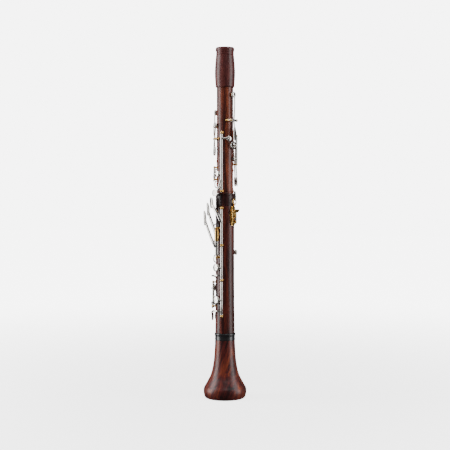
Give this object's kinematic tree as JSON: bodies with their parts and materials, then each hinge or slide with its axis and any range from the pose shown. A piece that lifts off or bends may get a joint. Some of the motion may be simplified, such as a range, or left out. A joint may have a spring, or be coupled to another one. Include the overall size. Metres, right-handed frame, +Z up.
{
  "type": "clarinet",
  "caption": "Soprano clarinet in figured rosewood without its mouthpiece: barrel, two joints, flared bell, silver-plated keys on gold-plated posts.",
  "frame": {"origin": "centre of the bell's bottom rim, on the surface it stands on", "axes": "+Z up the bore towards the barrel, -Y to the finger-hole side, +Y to the thumb side, +X to the player's left"},
  "size_m": [0.0736, 0.0736, 0.5955],
  "materials": {
    "rosewood": "oiled and polished, figured grain",
    "silver_plate": "bright silver plate",
    "gold_plate": "bright gold plate",
    "black_band": "polished black hard rubber",
    "tenon_cork": "greased cork sheet",
    "pad_skin": "thin white skin"
  },
  "bodies": {
    "instrument": {"register_hinge": "gold_plate", "register_tube": "gold_plate", "thumb_ring_hinge": "gold_plate", "thumb_tube": "silver_plate", "throat_a_hinge": "gold_plate", "throat_g_sharp_hinge": "gold_plate", "upper_ring_hinge": "gold_plate", "c_sharp_hinge": "gold_plate", "left_sliver_hinge": "gold_plate", "side_hinge_upper": "gold_plate", "side_hinge_lower": "gold_plate", "long_hinge": "gold_plate", "lever_hinge": "gold_plate", "low_f_sharp_hinge": "gold_plate", "low_g_sharp_hinge": "gold_plate", "lower_ring_hinge": "gold_plate", "right_sliver_hinge": "gold_plate", "thumb_rest_plate": "gold_plate", "bell": "rosewood", "bell_ring": "black_band", "upper_joint": "rosewood", "middle_tenon_cork": "tenon_cork", "barrel_tenon_cork": "tenon_cork", "lower_joint": "rosewood", "bell_tenon_cork": "tenon_cork"},
    "register_key": {"register_key": "silver_plate", "register_pad": "pad_skin"},
    "thumb_ring_key": {"thumb_ring_key": "silver_plate", "thumb_ring_pad": "pad_skin"},
    "throat_a_key": {"throat_a_key": "silver_plate", "throat_a_pad": "pad_skin"},
    "throat_g_sharp_key": {"throat_g_sharp_key": "silver_plate"},
    "upper_ring_key": {"upper_ring_key": "silver_plate", "upper_ring_pad": "pad_skin"},
    "c_sharp_key": {"c_sharp_key": "silver_plate", "c_sharp_pad": "pad_skin"},
    "left_sliver_key": {"left_sliver_key": "silver_plate", "left_sliver_pad": "pad_skin"},
    "side_key_1": {"side_key_1": "silver_plate"},
    "side_key_2": {"side_key_2": "silver_plate"},
    "side_key_3": {"side_key_3": "silver_plate"},
    "side_key_4": {"side_key_4": "silver_plate"},
    "low_f_key": {"low_f_key": "silver_plate", "low_f_pad": "pad_skin"},
    "low_e_key": {"low_e_key": "silver_plate", "low_e_pad": "pad_skin"},
    "low_f_sharp_key": {"low_f_sharp_key": "silver_plate", "low_f_sharp_pad": "pad_skin"},
    "low_g_sharp_key": {"low_g_sharp_key": "silver_plate", "low_g_sharp_pad": "pad_skin"},
    "lower_ring_key": {"lower_ring_key": "silver_plate", "lower_ring_pad": "pad_skin"},
    "right_sliver_key": {"right_sliver_key": "silver_plate"},
    "lever_inner": {"lever_inner": "silver_plate"},
    "lever_middle": {"lever_middle": "silver_plate"},
    "lever_outer": {"lever_outer": "silver_plate"},
    "barrel": {"barrel": "rosewood"},
    "thumb_hook": {"thumb_hook": "gold_plate"},
    "thumb_screw": {"thumb_screw": "silver_plate"},
    "strap_ring": {"strap_ring": "gold_plate"}
  },
  "joints": [
    {"name": "register_key_pivot", "type": "hinge", "parent": "instrument", "child": "register_key", "pos_m": [0, 0.0174, 0.472], "axis": [-1, 0, 0], "range_deg": [0, 5], "stiffness_Nm_per_rad": 0.02, "springref_deg": -17.19},
    {"name": "thumb_ring_key_pivot", "type": "hinge", "parent": "instrument", "child": "thumb_ring_key", "pos_m": [-0.00885, 0.01738, 0.422], "axis": [0, 0, -1], "range_deg": [0, 4], "stiffness_Nm_per_rad": 0.02, "springref_deg": -17.19},
    {"name": "throat_a_key_pivot", "type": "hinge", "parent": "instrument", "child": "throat_a_key", "pos_m": [0.00245, -0.01743, 0.462], "axis": [0.9903, 0.1392, 0], "range_deg": [0, 4], "stiffness_Nm_per_rad": 0.02, "springref_deg": -17.19},
    {"name": "throat_g_sharp_key_pivot", "type": "hinge", "parent": "instrument", "child": "throat_g_sharp_key", "pos_m": [0.01387, -0.01084, 0.441], "axis": [0.6157, 0.788, 0], "range_deg": [0, 5], "stiffness_Nm_per_rad": 0.02, "springref_deg": -17.19},
    {"name": "upper_ring_key_pivot", "type": "hinge", "parent": "instrument", "child": "upper_ring_key", "pos_m": [-0.01234, -0.01471, 0.3845], "axis": [0, 0, 1], "range_deg": [0, 4], "stiffness_Nm_per_rad": 0.02, "springref_deg": -17.19},
    {"name": "c_sharp_key_pivot", "type": "hinge", "parent": "instrument", "child": "c_sharp_key", "pos_m": [0.01846, 0.00564, 0.40175], "axis": [0, 0, -1], "range_deg": [0, 5], "stiffness_Nm_per_rad": 0.02, "springref_deg": -17.19},
    {"name": "left_sliver_key_pivot", "type": "hinge", "parent": "instrument", "child": "left_sliver_key", "pos_m": [0.01402, -0.01176, 0.3825], "axis": [0, 0, -1], "range_deg": [0, 6], "stiffness_Nm_per_rad": 0.02, "springref_deg": -17.19},
    {"name": "side_key_1_pivot", "type": "hinge", "parent": "instrument", "child": "side_key_1", "pos_m": [-0.01586, 0.00808, 0.406], "axis": [-0.454, -0.891, 0], "range_deg": [0, 4], "stiffness_Nm_per_rad": 0.02, "springref_deg": -17.19},
    {"name": "side_key_2_pivot", "type": "hinge", "parent": "instrument", "child": "side_key_2", "pos_m": [-0.01586, 0.00808, 0.406], "axis": [-0.454, -0.891, 0], "range_deg": [0, 4], "stiffness_Nm_per_rad": 0.02, "springref_deg": -17.19},
    {"name": "side_key_3_pivot", "type": "hinge", "parent": "instrument", "child": "side_key_3", "pos_m": [-0.01734, -0.004, 0.388], "axis": [0.225, -0.9744, 0], "range_deg": [0, 3.5], "stiffness_Nm_per_rad": 0.02, "springref_deg": -17.19},
    {"name": "side_key_4_pivot", "type": "hinge", "parent": "instrument", "child": "side_key_4", "pos_m": [-0.01734, -0.004, 0.388], "axis": [0.225, -0.9744, 0], "range_deg": [0, 3.5], "stiffness_Nm_per_rad": 0.02, "springref_deg": -17.19},
    {"name": "low_f_key_pivot", "type": "hinge", "parent": "instrument", "child": "low_f_key", "pos_m": [0.0195, 0.00634, 0.2315], "axis": [0, 0, -1], "range_deg": [0, 5], "stiffness_Nm_per_rad": 0.02, "springref_deg": -17.19},
    {"name": "low_e_key_pivot", "type": "hinge", "parent": "instrument", "child": "low_e_key", "pos_m": [0.0195, 0.00634, 0.1715], "axis": [0, 0, -1], "range_deg": [0, 5], "stiffness_Nm_per_rad": 0.02, "springref_deg": -17.19},
    {"name": "low_f_sharp_key_pivot", "type": "hinge", "parent": "instrument", "child": "low_f_sharp_key", "pos_m": [0.01428, -0.01428, 0.1775], "axis": [0, 0, -1], "range_deg": [0, 5], "stiffness_Nm_per_rad": 0.02, "springref_deg": -17.19},
    {"name": "low_g_sharp_key_pivot", "type": "hinge", "parent": "instrument", "child": "low_g_sharp_key", "pos_m": [-0.01262, -0.01615, 0.135], "axis": [0, 0, 1], "range_deg": [0, 5], "stiffness_Nm_per_rad": 0.02, "springref_deg": -17.19},
    {"name": "lower_ring_key_pivot", "type": "hinge", "parent": "instrument", "child": "lower_ring_key", "pos_m": [-0.01688, -0.01182, 0.274], "axis": [0, 0, 1], "range_deg": [0, 4], "stiffness_Nm_per_rad": 0.02, "springref_deg": -17.19},
    {"name": "right_sliver_key_pivot", "type": "hinge", "parent": "instrument", "child": "right_sliver_key", "pos_m": [-0.0198, 0.00278, 0.248], "axis": [0, 0, 1], "range_deg": [0, 6], "stiffness_Nm_per_rad": 0.02, "springref_deg": -17.19},
    {"name": "lever_inner_pivot", "type": "hinge", "parent": "instrument", "child": "lever_inner", "pos_m": [0.0195, 0.00634, 0.2925], "axis": [0, 0, -1], "range_deg": [0, 5], "stiffness_Nm_per_rad": 0.02, "springref_deg": -17.19},
    {"name": "lever_middle_pivot", "type": "hinge", "parent": "instrument", "child": "lever_middle", "pos_m": [0.02138, -0.00225, 0.277], "axis": [0, 0, -1], "range_deg": [0, 5], "stiffness_Nm_per_rad": 0.02, "springref_deg": -17.19},
    {"name": "lever_outer_pivot", "type": "hinge", "parent": "instrument", "child": "lever_outer", "pos_m": [0.02138, -0.00225, 0.255], "axis": [0, 0, -1], "range_deg": [0, 5], "stiffness_Nm_per_rad": 0.02, "springref_deg": -17.19},
    {"name": "barrel_slide", "type": "slide", "parent": "instrument", "child": "barrel", "axis": [0, 0, 1], "range_m": [0, 0.003]},
    {"name": "thumb_hook_slide", "type": "slide", "parent": "instrument", "child": "thumb_hook", "axis": [0, 0, 1], "range_m": [-0.0035, 0.0025]},
    {"name": "thumb_screw_turn", "type": "hinge", "parent": "instrument", "child": "thumb_screw", "pos_m": [0, 0.0185, 0.3055], "axis": [0, 1, 0], "range_deg": [-180, 180]},
    {"name": "strap_ring_swing", "type": "hinge", "parent": "instrument", "child": "strap_ring", "pos_m": [0, 0.0196, 0.3299], "axis": [-1, 0, 0], "range_deg": [-12, 95]}
  ],
  "couplings": [
    {"joint": "lever_outer_pivot", "follows": "low_e_key_pivot", "ratio": 1},
    {"joint": "lever_middle_pivot", "follows": "low_f_sharp_key_pivot", "ratio": 1},
    {"joint": "lever_inner_pivot", "follows": "low_f_key_pivot", "ratio": 1},
    {"joint": "upper_ring_key_pivot", "follows": "lower_ring_key_pivot", "ratio": 1}
  ]
}
